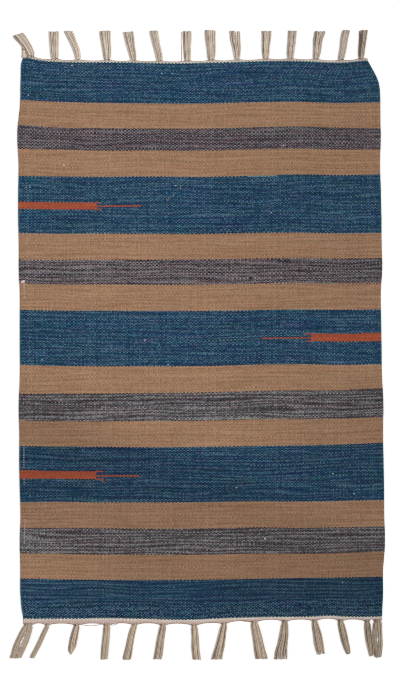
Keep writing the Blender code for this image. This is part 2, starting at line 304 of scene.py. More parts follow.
def fieldRow(along, warps):  # points of one pick line, at these warp counts
    share = np.interp(warps, counts, shares)
    across = outline("left", along) * (1 - share) + outline("right", along) * share
    y = along + weftRise(across, along)
    leftDraw, rightDraw = drawnIn(along)
    left, right = outline("left", y[0]) + leftDraw, outline("right", y[-1]) - rightDraw
    across = left * (1 - share) + right * share
    return across, along + weftRise(across, along)


def fieldGrid(warps, alongs):
    grid = np.zeros((len(alongs), len(warps), 3))
    for row, along in zip(grid, alongs):
        row[:, 0], row[:, 1] = fieldRow(along, warps)
    return grid


def gridFaces(rows, columns, first, turned=False):
    index = first + np.arange(rows * columns).reshape(rows, columns)
    corners = [index[:-1, :-1], index[:-1, 1:], index[1:, 1:], index[1:, :-1]]
    faces = np.stack(corners, -1).reshape(-1, 4)
    return (faces[:, ::-1] if turned else faces).tolist(), index


def rim(index):  # a grid's edge, anticlockwise from its first corner
    return [*index[0, :-1], *index[:-1, -1], *index[-1, :0:-1], *index[:0:-1, 0]]


def joinRims(upper, lower, step):  # a wall between two edges, the upper one finer
    faces = []
    for i in range(len(lower)):
        j = (i + 1) % len(lower)
        line = [upper[(i * step + k) % len(upper)] for k in range(step + 1)]
        faces.append([int(v) for v in (lower[i], lower[j], *reversed(line))])
    return faces


def clothMesh(name, upper, lower, uvUpper, uvLower, step):
    upperFaces, upperIndex = gridFaces(*upper.shape[:2], 0)
    first = upper.shape[0] * upper.shape[1]
    lowerFaces, lowerIndex = gridFaces(*lower.shape[:2], first, turned=True)
    walls = joinRims(rim(upperIndex), rim(lowerIndex), step)
    points = np.concatenate([upper.reshape(-1, 3), lower.reshape(-1, 3)]) + offset
    mesh = bpy.data.meshes.new(name)
    mesh.from_pydata(points.tolist(), [], upperFaces + lowerFaces + walls)
    uv = np.concatenate([uvUpper.reshape(-1, 2), uvLower.reshape(-1, 2)])
    corners = np.empty(len(mesh.loops), np.int32)
    mesh.loops.foreach_get("vertex_index", corners)
    layer = mesh.uv_layers.new(name="weave")
    layer.data.foreach_set("uv", uv[corners].astype(np.float32).ravel())
    mesh.shade_smooth()
    mesh.update()
    return mesh


def swellWave(x, y, rate, sway, swayRate):
    return np.sin(x * rate + sway * np.sin(y * swayRate))


def makeField():
    values = fieldValues
    warps = np.arange(2 * values["warps"] + 1) / 2
    alongs = np.linspace(clothBottom, clothTop, values["rows"] + 1)
    upper = fieldGrid(warps, alongs)
    rib = values["ribDepth"] * (np.arange(len(warps)) % 2 == 0)
    x, y = upper[..., 0], upper[..., 1]
    wave = swellWave(x, y, *values["waves"][0]) * swellWave(y, x, *values["waves"][1])
    upper[..., 2] = values["thickness"] - rib - values["swell"] * (1 - wave)
    selvedge, beside, end = values["edges"]
    upper[:, [0, -1], 2] = selvedge * values["thickness"]
    upper[:, [1, -2], 2] -= beside * values["thickness"]
    upper[[0, -1], :, 2] *= end
    step = values["undersideStep"]
    lower = fieldGrid(warps[::step], alongs[::step])
    uvUpper = np.stack(np.meshgrid(warps, (alongs - clothBottom) / values["pickPitch"]), -1)
    uvLower = uvUpper[::step, ::step]
    mesh = clothMesh("wovenField", upper, lower, uvUpper, uvLower, step)
    return newObject("wovenField", mesh, weaveMaterial())


rustDye = dye(149, 72, 49)
weaveValues = {
    # dark, middle and light fibres
    "yarns": {
        "blue": (dye(5, 30, 60), dye(29, 60, 84), dye(76, 105, 122)),
        "blueStreaked": (dye(4, 29, 59), dye(28, 57, 81), dye(73, 101, 117)),
        "tan": (dye(121, 89, 66), dye(147, 113, 88), dye(165, 132, 106)),
        "grey": (dye(40, 32, 39), dye(76, 68, 74), dye(118, 111, 113)),
        "greyMid": (dye(34, 27, 33), dye(85, 78, 82), dye(127, 119, 120)),
        "greyStreaked": (dye(46, 39, 43), dye(84, 79, 82), dye(133, 130, 130)),
        "cream": (dye(168, 154, 142), dye(198, 186, 174), dye(222, 212, 202)),
        "rust": (dye(128, 56, 37), rustDye, dye(172, 93, 68)),
    },
    # how much the yarns' own shade changes in rows, from warp to warp, along a pick and from bead
    # to bead, how fast it changes from warp to warp, and how dark the painted shade in the grooves
    # is
    "shades": {
        "blue": (0.17, 0.2, 0.21, 0.31, 0.22, 1.6),
        "blueStreaked": (0.21, 0.17, 0.24, 0.28, 0.22, 1.6),
        "tan": (0.13, 0.06, 0.25, 0.24, 0.205, 0.3),
        "grey": (0.2, 0.33, 0.17, 0.32, 0.203, 1.9),
        "greyMid": (0.26, 0.23, 0.23, 0.31, 0.203, 1.7),
        "greyStreaked": (0.28, 0.13, 0.29, 0.33, 0.203, 1.3),
        "cream": (0.1, 0.1, 0.2, 0.2, 0.2, 0.5),
    },
    "rowRate": 0.17,  # shades in rows, to a pick
    # slow changes: over how many warps, how fast from pick to pick, layer and detail
    "slow": {
        "rowDrift": (55, 0.06), "rowSwell": (30, 0.3, 8), "turnSwell": (30, 0.2, 4),
        "broad": (80, 0.1, 5, 2),
    },
    "turnDrift": (45, 20, 0.07),
    # the last stripe: between which picks its beads stop standing out, how much more they
    # do below and how much lighter they are, how much less they do above, its last pick,
    # and the painted shade at its right
    "beadedEnd": (12, 36, 0.8, 0.07, 0.3, 64),
    "beadedSideShade": (-0.05, 0.3, 0.08),
    "streaks": (26, 1.8),  # their length in warps and strength
    # how far the fibres' hue strays towards red or green
    "hues": {
        "cream": 0.05, "blue": 0.68, "blueStreaked": 0.68, "tan": 0.08, "grey": 0.28,
        "greyMid": 0.26, "greyStreaked": 0.26,
    },
    "redness": (16, 2, 0.9),  # length in warps, strength, strength from bead to bead
    "blueness": (20, 2.4, 0.2),  # the same, and how far it goes with redness
    "tints": (1, -0.2, 0.33),  # how far each colour follows
    "rimDye": dye(44, 104, 108),  # shows at the ends and selvedges of the blue stripes
    # painted shade: a line's slope, place and reach, and the tone below it;
    # from where to where across, and the tone at each
    "lowerShade": (0.43, -0.3, 0.06, 0.8),
    "sideShade": (-0.1, 0.46, 1.04, 0.9),
    "cornerShade": (0.1, 0.45, -0.15, -0.05, 0.1),
    "paintedLightPatch": (-0.42, 0.15, -0.6, 0.13, 0.2),  # a painted pool of light: place and reach each way, strength
    "beadFall": (2.6, 3.2),  # how fast a bead falls away to its sides and its ends
    "grooveShadeRise": 0.083,  # keeps the mean tone across a warp under the painted groove shade
    "fibres": (3, 4, 9),  # how fine, how far aslant, and how short
    # roughness, what fibres add to it and to the height, the height's depth, and sheen
    "finish": (0.8, 0.16, 0.25, 0.0005, 0.02),
    # where the yarn's mix is lighter or darker: lowest and highest pick, first and last
    # warp, by how much
    "mixes": [
        (786, 818, -20, 27, 0.07), (579, 601, 132, 224, -0.1), (558, 578, 68, 132, 0.06),
        (356, 378, -20, 224, -0.08), (110, 148, -20, 28, 0.09),
    ],
    # share of beads with a stray fibre, and its colour
    "strays": {
        "blue": [(0.0002, dye(158, 162, 172)), (0.0007, dye(50, 124, 142))],
        "grey": [(0.0004, dye(70, 80, 150))],
    },
    # lances: their selvedge, their body's lowest and highest pick and its reach in warps,
    # then the lowest pick and the reach of each prong
    "lances": [
        ("left", (686, 697, 44), [(685, 47), (691, 69), (697, 46)]),
        ("right", (462, 474, 41), [(461, 44), (466, 69), (473, 45)]),
        ("left", (234, 246, 43), [(233, 47), (239, 67), (246, 47)]),
    ],
    # odd places: colour, its share, lowest and highest pick, first and last warp
    "marks": [
        (rustDye, 1, 230, 232, 46, 46),  # a prong's hook
        (rustDye, 1, 475, 475, 192, 203),  # bodies one pick deeper
        (rustDye, 1, 247, 247, 0, 9),
        (rustDye, 0.5, 690, 690, 44, 68),  # fuller middle prongs
        (rustDye, 0.5, 238, 238, 43, 66),
        (dye(112, 148, 150), 0.6, 739, 740, 128, 143),  # a pale pick
        (dye(20, 12, 22), 0.9, 567, 569, 128, 129),  # specks in the yarn
        (dye(226, 212, 214), 0.65, 561, 564, 1, 2),
        (dye(150, 132, 140), 0.6, 789, 791, 146, 148),
        (dye(214, 200, 196), 0.65, 758, 759, 25, 25),
        (dye(140, 150, 162), 0.6, 722, 722, 4, 6),
        (dye(60, 150, 100), 0.8, 237, 237, 95, 96),
        (dye(205, 200, 205), 0.85, 130, 131, 135, 135),
        (dye(96, 78, 74), 0.8, 405, 406, 23, 23),
    ],
    # light dots along one warp: which, colour, share, and between which picks
    "dots": (2, dye(190, 182, 184), 0.36, [(122, 165), (222, 232), (249, 291), (533, 560)]),
}


def grade(n, stripe, numbers):  # one number for each stripe
    return n.split(n.steps(stripe, [[number] * 3 + [1] for number in numbers]))[0]


def threeDyes(n, light, dark, middle, pale):
    colour = n.blend(n.clamp(light * 2), dark, middle)
    return n.blend(n.clamp(light * 2 - 1), colour, pale)


def within(value, lowest, highest):  # 1 from one whole number to another, 0 elsewhere
    return (value > lowest - 0.5) * (value < highest + 0.5)


class Bead:  # the bead of weft that shows at a place
    def __init__(self, n):
        self.n = n
        self.across, self.along, _ = n.split(n.add("ShaderNodeUVMap", {}, {"uv_map": "weave"}))
        self.warp = n.math("FLOOR", self.across)
        self.odd = self.warp % 2
        self.pick = n.math("FLOOR", (self.along + self.odd) / 2) * 2 - self.odd
        self.aside = self.across - self.warp - 0.5
        self.above = (self.along - self.pick) / 2 - 0.5

    def dome(self, aside, above):
        sides, ends = self.aside * self.aside * aside, self.above * self.above * above
        return self.n.clamp(1 - sides - ends)

    def noise(self, length, row, layer=0, detail=1):
        return self.n.noise(self.n.vector(self.across / length, row, layer), 1, detail)

    def slow(self, name):
        length, pace, *layer = weaveValues["slow"][name]
        return self.noise(length, self.pick * pace, *layer)

    def fibre(self, fineness, lean, shortness):
        x = self.across * fineness + self.above * lean
        place = self.n.vector(x, self.above * shortness + self.pick, self.warp)
        return self.n.noise(place, 2, 3)


def stripeUnder(bead):  # the stripes' yarns from the bottom up, and the number of one
    yarns, edge, stripe = [], 0, 0
    for number, (yarn, height) in reversed(list(enumerate(fieldValues["stripes"]))):
        if edge:
            low = round(edge - 0.6) - 0.5
            for which, first, last, picks in fieldValues["steps"]:
                if which == number:
                    low = within(bead.warp, first, last) * picks + low
            stripe += bead.pick > low
        yarns.append(yarn)
        edge += height / 1000 / fieldValues["pickPitch"]
    return yarns, stripe


def weaveLight(bead, rate, strengths, streak):  # light and dark fibres
    values, n, pick, warp = weaveValues, bead.n, bead.pick, bead.warp
    length, start, pace = values["turnDrift"]
    drift = n.noise(n.vector(bead.across / length + start, pick * pace), 1, 1) * 1.8
    turns = n.math("SINE", (bead.along * rate + drift) * math.tau) * (1 - bead.odd * 2)
    turns *= 0.3 + bead.slow("turnSwell") * 1.4
    drift = bead.slow("rowDrift") * 3
    rows = n.math("SINE", (pick * values["rowRate"] + drift) * math.tau)
    rows *= 0.3 + bead.slow("rowSwell") * 1.4
    grain = n.noise(n.vector(bead.across * 1.3, bead.along, 2), 1, 1) * 2.4 - 1.2
    speck = (n.chance(warp, pick) * 2 - 1) * 0.75 + grain

    start, end, more, lighter, less, last = values["beadedEnd"]
    beaded = n.smoothStep(pick, start, end, 1, 0)
    quiet = (pick < last + 0.5) * (1 - beaded)
    clear = 1 + beaded * more - quiet * less
    turns, speck = turns * clear, speck * clear

    broad = bead.slow("broad") * 2 - 1
    light = 0.5 + broad * 0.17 + (n.chance(warp, 0, 9) - 0.5) * 0.1 + beaded * lighter
    for shade, strength in zip((rows, turns, streak, speck), strengths):
        light += shade * strength
    for lowest, highest, first, last, change in values["mixes"]:
        here = within(pick, lowest, highest) * n.smoothStep(warp, first - 6, first + 6)
        light += here * n.smoothStep(warp, last - 6, last + 6, change, 0)
    return n.clamp(light), speck, quiet, clear


def weavePattern(bead, colour, rust, plain):  # the rust lances, and the odd places
    values, n, pick, warp = weaveValues, bead.n, bead.pick, bead.warp
    shape = 0
    for side, (lowest, highest, reach), prongs in values["lances"]:
        away = warp if side == "left" else fieldValues["warps"] - 1 - warp
        shape += within(pick, lowest, highest) * (away < reach)
        for first, tip in prongs:
            shape += within(pick, first, first + 1) * within(away, reach - 1, tip - 1)
    shape = n.clamp(shape)
    colour = n.blend(shape, colour, rust)
    for mark, share, lowest, highest, first, last in values["marks"]:
        here = within(pick, lowest, highest) * within(warp, first, last)
        colour = n.blend(here * share, colour, mark)
        plain += here
    column, dot, share, runs = values["dots"]
    for lowest, highest in runs:
        here = within(pick, lowest, highest) * (pick % 4 < 1.5) * within(warp, column, column)
        colour = n.blend(here * share, colour, dot)
        plain += here
    return colour, shape, plain


def paintedWeaveShade(bead, place, quiet, grooveShades):  # painted shade and light across the cloth and in its grooves, with random patches
    values, n = weaveValues, bead.n
    x, y, _ = n.split(place)
    slope, along, reach, least = values["lowerShade"]
    fall = n.smoothStep(y + x * slope - along, -reach, reach, least, 1)
    side = n.smoothStep(x, *values["sideShade"])
    middleX, reachX, middleY, reachY, lighter = values["paintedLightPatch"]
    patchX, patchY = (x - middleX) / reachX, (y - middleY) / reachY
    patch = n.math("EXPONENT", (patchX * patchX + patchY * patchY) * -1)
    patches = n.noise(place, 4, 2)
    tone = fall * side * (1 + patch * lighter) * (0.93 + patches * 0.14)
    # painted shade at the right of the last stripe's upper picks
    start, end, darker = values["beadedSideShade"]
    tone *= 1 - quiet * n.smoothStep(x, start, end, 0, darker)
    start, end, bottom, top, darker = values["cornerShade"]
    low = n.smoothStep(y, bottom, top, darker, 0)
    tone *= 1 - n.smoothStep(x, start, end) * low
    # painted shade in the grooves between warps and at each bead's ends
    grooveShade = grooveShades * (values["grooveShadeRise"] - bead.aside * bead.aside)
    return tone * (1 + grooveShade - bead.above * bead.above * 0.4)


def weaveTintsAndShade(bead, own, hue, tone):  # fibres that stray to red or green, times the painted shade
    values, n = weaveValues, bead.n
    length, strength, each = values["redness"]
    redder = bead.noise(length, own * 57, 6) * 2 - 1
    redder = redder * strength + (n.chance(bead.warp, bead.pick, 2) - 0.5) * each
    length, strength, share = values["blueness"]
    bluer = bead.noise(length, own * 71, 1.5) * 2 - 1
    warm, cool = redder * hue, (bluer * strength + redder * share) * hue
    red, green, blue = values["tints"]
    return n.vector(tone * (1 + warm * red), tone * (1 + warm * green), tone * (1 + cool * blue))


def weaveMaterial():
    values = weaveValues
    material, n = newMaterial("kilimWeave")
    bead = Bead(n)
    place = n.place()
    yarns, stripe = stripeUnder(bead)
    columns = zip(*(values["shades"][yarn] for yarn in yarns))
    *strengths, rate, grooveShades = (grade(n, stripe, column) for column in columns)

    # the yarns' own colours
    own = n.chance(bead.pick, 0, 7)  # a number for each pick's yarn
    length, strength = values["streaks"]
    streak = (bead.noise(length, own * 83, 3.3) * 2 - 1) * strength
    light, speck, quiet, clear = weaveLight(bead, rate, strengths, streak)
    columns = zip(*(values["yarns"][yarn] for yarn in yarns))
    colour = threeDyes(n, light, *(n.steps(stripe, column) for column in columns))

    # teal rims of the blue stripes, and stray fibres
    rim = (bead.pick < 0.5) + (bead.pick > pickCount - 2.5)
    rim = rim + (bead.across < 0.5) + (bead.across > fieldValues["warps"] - 0.5)
    rim = n.clamp(rim) * grade(n, stripe, [float(yarn.startswith("blue")) for yarn in yarns])
    colour = n.blend(rim * 0.6, colour, values["rimDye"])
    stray, low = n.chance(bead.warp, bead.pick, 5), 0
    for kind, fibres in values["strays"].items():
        holds = grade(n, stripe, [float(yarn.startswith(kind)) for yarn in yarns])
        for share, fibre in fibres:
            here = (stray > low) * (stray < low + share) * holds
            colour = n.blend(here * 0.7, colour, fibre)
            low += share

    # lances and odd places, where the hue doesn't stray
    rust = threeDyes(n, n.clamp(0.5 + streak * 0.3 + speck * 0.2), *values["yarns"]["rust"])
    colour, shape, plain = weavePattern(bead, colour, rust, rim)
    hue = grade(n, stripe, [values["hues"][yarn] for yarn in yarns])
    hue = hue * (1 - n.clamp(shape + plain) * 0.9) * (1.55 - light * 1.15)
    # painted shade and light over the cloth and in its grooves
    tone = paintedWeaveShade(bead, place, quiet, grooveShades * clear * (1 - shape * 0.7))
    colour = n.blend(1, colour, weaveTintsAndShade(bead, own, hue, tone), "MULTIPLY")
    n.cloth(colour, bead.dome(*values["beadFall"]), bead.fibre(*values["fibres"]), values["finish"])
    return material


field = makeField()
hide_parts("woven_field")
print("field woven:", len(field.data.polygons), "faces")


# end bands

tasselRows = {
    # knot's place, its width, how far the end lies across and along, spread
    "top": [
        (-0.4255, 0.0195, -0.458, 0.769, 0.027), (-0.365, 0.019, -0.368, 0.776, 0.0265),
        (-0.307, 0.013, -0.332, 0.777, 0.023), (-0.233, 0.017, -0.239, 0.778, 0.03),
        (-0.167, 0.014, -0.18, 0.776, 0.0275), (-0.101, 0.016, -0.116, 0.778, 0.022),
        (-0.031, 0.0165, -0.032, 0.777, 0.023), (0.029, 0.0175, 0.026, 0.779, 0.0285),
        (0.094, 0.0135, 0.088, 0.777, 0.032), (0.166, 0.0155, 0.168, 0.777, 0.0265),
        (0.228, 0.0165, 0.233, 0.778, 0.0225), (0.292, 0.015, 0.302, 0.777, 0.029),
        (0.355, 0.0155, 0.368, 0.779, 0.0205), (0.406, 0.014, 0.412, 0.779, 0.022),
    ],
    "bottom": [
        (-0.432, 0.0255, -0.464, 0.8, 0.031), (-0.384, 0.011, -0.4225, 0.799, 0.012),
        (-0.31, 0.015, -0.325, 0.79, 0.026), (-0.234, 0.018, -0.241, 0.803, 0.0195),
        (-0.164, 0.015, -0.184, 0.804, 0.022), (-0.093, 0.016, -0.107, 0.803, 0.0225),
        (-0.014, 0.0165, -0.008, 0.804, 0.022), (0.061, 0.0145, 0.042, 0.803, 0.029),
        (0.137, 0.018, 0.155, 0.802, 0.032), (0.214, 0.0155, 0.203, 0.803, 0.036),
        (0.289, 0.0145, 0.305, 0.788, 0.021), (0.354, 0.015, 0.374, 0.789, 0.0085),
        (0.421, 0.014, 0.4315, 0.793, 0.0105), (0.4475, 0.0215, 0.4475, 0.798, 0.0145),
    ],
}

bandValues = {
    "thickness": 0.0032,
    "ribDepth": 0.0005,
    "gap": 0.0003,
    "rows": 6,
    "crown": (0.6, 0.45),  # from this share of its depth it slopes down, by this share
    "pickPitch": 0.0016,
    "drop": {"top": 0.002, "bottom": 0.0038},  # how much deeper the band is at a knot
    "knotReach": 0.44,
    "knotMargin": 0.001,
    "scallop": 2.5,
    "cornerFade": 0.02,
    "cream": (dye(168, 155, 145), dye(222, 213, 204)),
    "blush": dye(180, 144, 134),
    "blushFrom": (1, 5, 0.55),  # over which picks it comes, and its share
    "finish": (0.84, 0.12, 0.3, 0.0004, 0.04),
}


def bandEdge(side, across):  # how far out the band reaches
    reaches = []
    for root, width, *_ in tasselRows[side]:
        reach = width * bandValues["knotReach"] + bandValues["knotMargin"]
        reaches.append((root - reach, root + reach))
    depth = outline(side, across) + outline(side + "Band", across)
    drop = np.ones_like(depth)
    for (_, start), (end, _) in zip(reaches, reaches[1:]):
        between = (across > start) & (across < end)
        share = (across[between] - start) / (end - start)
        drop[between] = np.abs(2 * share - 1) ** bandValues["scallop"]
    past = np.maximum(reaches[0][0] - across, across - reaches[-1][1])
    drop *= np.clip(1 - past / bandValues["cornerFade"], 0, 1)
    return depth + bandValues["drop"][side] * drop


def bandSpan(side):
    sign = 1 if side == "top" else -1
    along = clothTop if side == "top" else clothBottom
    warps = np.arange(2 * fieldValues["warps"] + 1) / 2
    return sign, warps, fieldRow(along, warps)[0]


def makeBand(side, material):
    values = bandValues
    sign, warps, across = bandSpan(side)
    inner = outline(side, across) + values["gap"]
    outer = bandEdge(side, across)
    depths = np.linspace(0, 1, values["rows"] + 1)
    slope, fall = values["crown"]
    upper = np.zeros((len(depths), len(warps), 3))
    for i, depth in enumerate(depths):
        upper[i, :, 0] = across
        upper[i, :, 1] = sign * (inner + (outer - inner) * depth)
        crown = 1 - fall * max(0, depth - slope) / (1 - slope)
        rib = values["ribDepth"] * ((np.arange(len(warps)) + i) % 2)
        upper[i, :, 2] = values["thickness"] * crown - rib
    uv = np.stack(np.meshgrid(warps, depths), -1)
    uv[..., 1] *= (outer - inner) / values["pickPitch"]
    if sign < 0:  # faces turn outwards
        upper, uv = upper[::-1], uv[::-1]
    lower = upper.copy()
    lower[..., 2] = 0
    mesh = clothMesh("band", upper, lower, uv, uv, 1)
    return newObject("endBand" + side.capitalize(), mesh, material)


def sideShade(n, place, least):  # the right side lies in less light
    return n.smoothStep(n.split(place)[0], 0.1, 0.5, 1, least)


def bandMaterial():
    values = bandValues
    material, n = newMaterial("creamBand")
    bead = Bead(n)
    dome = bead.dome(2.4, 2.6)
    streak = bead.noise(12, bead.pick * 0.8, 1.7)
    light = n.clamp(streak * 1.2 - 0.1 + (n.chance(bead.warp, bead.pick) - 0.5) * 0.25)
    colour = n.blend(light, *values["cream"])
    start, end, share = values["blushFrom"]
    colour = n.blend(n.smoothStep(bead.along, start, end) * share, colour, values["blush"])
    place = n.place()
    # painted shade between the beads and on the right side
    tone = (0.85 + dome * 0.15) * sideShade(n, place, 0.84)
    colour = n.blend(1, colour, n.vector(tone, tone, tone), "MULTIPLY")
    n.cloth(colour, dome, bead.fibre(4, 0, 8), values["finish"])
    return material


creamBand = bandMaterial()
bands = {side: makeBand(side, creamBand) for side in ("top", "bottom")}
for side, band in bands.items():
    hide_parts("end_band_" + side)
print("end bands made")


# yarns, plied and laid along their paths by Geometry Nodes

yarnValues = {
    "Ring Spacing": 0.0021,
    "Twist Length": 0.0085,
    "Flatness": 0.86,
    "Fuzz": 0.0003,
    "Fuzz Scale": 220.0,
    "Sides": 8,
    "Seed": 14,
}


def yarnTree():
    tree = bpy.data.node_groups.new("pliedYarn", "GeometryNodeTree")
    face = tree.interface
    face.new_socket("Geometry", in_out="INPUT", socket_type="NodeSocketGeometry")
    for name, value in yarnValues.items():
        kind = "NodeSocketInt" if isinstance(value, int) else "NodeSocketFloat"
        face.new_socket(name, in_out="INPUT", socket_type=kind)
    face.new_socket("Finish", in_out="INPUT", socket_type="NodeSocketMaterial")
    face.new_socket("Geometry", in_out="OUTPUT", socket_type="NodeSocketGeometry")
    n = Nodes(tree)
    group = n.add("NodeGroupInput").socket.node
    given = {output.name: Signal(n, output) for output in group.outputs if output.name}

    paths = n.add("GeometryNodeMeshToCurve", {"Mesh": given["Geometry"]})
    sockets = {"Curve": paths, "Length": given["Ring Spacing"]}
    rings = n.add("GeometryNodeResampleCurve", sockets, {"mode": "LENGTH"})
    travelled = n.add("GeometryNodeSplineParameter", {}, {}, "Length")
    share = n.add("GeometryNodeSplineParameter", {}, {}, "Factor")
    sockets = {"W": given["Seed"], "Scale": given["Fuzz Scale"], "Detail": 1}
    fuzz = n.split(n.add("ShaderNodeTexNoise", sockets, {"noise_dimensions": "4D"}, "Color"))
    push = given["Fuzz"] * share * 2
    wander = n.vector((fuzz[0] - 0.5) * push, (fuzz[1] - 0.5) * push, (fuzz[2] - 0.5) * push)
    loose = n.add("GeometryNodeSetPosition", {"Geometry": rings, "Offset": wander})
    tone = n.add("GeometryNodeInputNamedAttribute", {"Name": "tone"})
    twist = travelled / given["Twist Length"] * math.tau + tone * 40
    laid = n.add("GeometryNodeSetCurveTilt", {"Curve": loose, "Tilt": twist})

    sockets = {"Resolution": given["Sides"], "Radius": 1}
    circle = n.add("GeometryNodeCurvePrimitiveCircle", sockets)
    oval = n.vector(1, given["Flatness"], 1)
    oval = n.add("GeometryNodeTransform", {"Geometry": circle, "Scale": oval})
    radius = n.add("GeometryNodeInputNamedAttribute", {"Name": "radius"})
    sockets = {"Curve": laid, "Profile Curve": oval, "Scale": radius, "Fill Caps": True}
    yarn = n.add("GeometryNodeCurveToMesh", sockets)
    smooth = n.add("GeometryNodeSetShadeSmooth", {"Geometry": yarn})
    real = n.add("GeometryNodeRealizeInstances", {"Geometry": smooth})
    done = n.add("GeometryNodeSetMaterial", {"Geometry": real, "Material": given["Finish"]})
    n.add("NodeGroupOutput", {0: done})
    return tree


def yarnPath(x, y, z, radius, tone):  # height and radius may be one number or many
    z, radii = (np.zeros_like(x) + part for part in (z, radius))
    return {"points": np.stack([x, y, z], -1), "radii": radii, "tone": tone}


def layYarns(name, paths, material, **changed):
    points, edges, radii, tones = [], [], [], []
    for path in paths:
        first = len(points)
        points += (path["points"] + offset).tolist()
        edges += [(first + i, first + i + 1) for i in range(len(path["points"]) - 1)]
        radii += list(path["radii"])
        tones += [path["tone"]] * len(path["points"])
    mesh = bpy.data.meshes.new(name + "Paths")
    mesh.from_pydata(points, edges, [])
    for label, values in (("radius", radii), ("tone", tones)):
        mesh.attributes.new(label, "FLOAT", "POINT").data.foreach_set("value", values)
    guide = newObject(name + "Paths", mesh)
    modifier = guide.modifiers.new("Plied yarn", "NODES")
    modifier.node_group = pliedYarn
    settings = {**yarnValues, "Finish": material, **changed}
    for item in pliedYarn.interface.items_tree:
        if item.in_out == "INPUT" and item.name in settings:
            modifier[item.identifier] = settings[item.name]
    graph = bpy.context.evaluated_depsgraph_get()
    made = bpy.data.meshes.new_from_object(guide.evaluated_get(graph))
    made.name = name
    bpy.data.objects.remove(guide, do_unlink=True)
    return newObject(name, made)


pliedYarn = yarnTree()


cottonValues = {
    "bottomShade": (0.783, 0.745, 0.69),  # painted shade on the bottom end, in each colour
    # painted shade on the right side
    "rightShade": 0.74,
    "finish": (0.82, 0.14, 1, 0.0002, 0.03),
}


def cottonMaterial(name, dark, pale):
    values = cottonValues
    material, n = newMaterial(name)
    place = n.place()
    tone = n.add("ShaderNodeAttribute", {}, {"attribute_name": "tone"}, "Fac")
    patches = n.noise(place, 60, 3)
    fibre = n.noise(place, 900, 2)
    light = n.clamp(tone * 0.75 + patches * 0.5 - 0.2 + (fibre - 0.5) * 0.2)
    colour = n.blend(light, dark, pale)
    # painted shade towards the bottom end and the right side
    lower = n.smoothStep(n.split(place)[1], -0.2, 0.2, 1, 0)
    side = sideShade(n, place, values["rightShade"])
    red, green, blue = [side * (1 - lower * (1 - share)) for share in values["bottomShade"]]
    colour = n.blend(1, colour, n.vector(red, green, blue), "MULTIPLY")
    n.cloth(colour, 0, fibre, values["finish"])
    return material


# tassels

tasselValues = {
    # layers of yarns: width for each, radius, height, least and most tone, share of width
    # the lower layer's darker tone is painted shade between the upper yarns
    "layers": [
        (0.0026, 0.0021, 0.0022, 0.42, 0.64, 0.9), (0.0021, 0.00125, 0.0037, 0.55, 1.05, 0.97),
    ],
    "unevenPlaces": 0.2,
    "unevenRadius": (0.88, 1.1),
    "shadeLineEvery": 4,  # in the upper layer, every so many yarns a thin dark one, a painted shade line
    "shadeLineRadius": 0.0008,
    "shadeLineTones": (0, 0.2),
    "underBand": 0.002,  # how far the yarns start inside it
    "tipShare": 0.85,
    "tipLength": 0.04,  # share of a yarn that tapers
    "gather": 0.7,  # width of the yarns in the knot, as a share of the knot's
    "leanPower": 1.05,
    "fanPower": 0.8,
    "unevenTips": 0.0012,
    "bulge": 0,  # how much wider the tassel is midway
    "hollow": 0,  # how far its two halves lie apart
    "crossings": 0,  # wavy yarns across the hollow
    "roundTip": 0,
    "tipSlant": 0,  # how much longer the right side is
    "leftShade": 0.3,
    "shadeFrom": 0.15,  # where that shade starts, left of the middle
    "wander": 0.0012,
    "wanderRates": (4, 9),
    "sink": 0.3,  # how much lower the yarns lie towards their tips
    "steps": 16,
    "knotOut": 0.0024,
    "knotHalfWidth": 0.34,
    "knotHeight": 0.0042,
    "knotRise": 0.0012,
    "knotSlant": 0.0012,
    "knotWraps": [(0.0009, 0.65), (0.0008, 0)],  # radius and tone; the dark wrap paints the knot's shadow
    "knotSide": {"top": 0.22, "bottom": -0.22},  # where the dark wrap, a painted knot shadow, sits
    "seed": 14,
    "dark": dye(123, 104, 89),
    "pale": dye(235, 220, 203),
    "special": {  # what sets a tassel apart
        ("top", 0): {
            "knotOut": 0.0195, "gather": 0.5, "knotWraps": [(0.0015, 0), (0.0012, 0)],
        },
        # darker wraps paint the shade at its base
        ("top", 1): {
            "leanPower": 1.4, "tipSlant": 0.0093, "knotWraps": [(0.0011, 0.05), (0.001, 0)],
        },
        ("top", 3): {"leanPower": 1.5},
        ("top", 9): {"wander": 0.0026},
        ("top", 12): {"wander": 0.0022, "shadeLineEvery": 3},
        ("top", 14): {"leftShade": 1.1, "shadeFrom": -0.05},
        ("bottom", 1): {"hollow": 0.0034, "leanPower": 1, "crossings": 5},
        ("bottom", 2): {"leftShade": 0.5},
        ("bottom", 3): {"roundTip": 0.75},
        ("bottom", 5): {"leanPower": 0.8},
        ("bottom", 10): {"wander": 0.0026, "shadeLineEvery": 3},
        ("bottom", 11): {"unevenTips": 0.0045, "bulge": 0.003},
        ("bottom", 12): {"unevenTips": 0.003, "bulge": 0.0045},
        ("bottom", 13): {"unevenTips": 0.003, "bulge": 0.0035},
        ("bottom", 14): {"hollow": 0.003, "crossings": 5, "shadeLineEvery": 3},
    },
    "cornerLock": (-0.4435, 0.011, -0.446, 0.737, 0.008),  # beside the first one
}


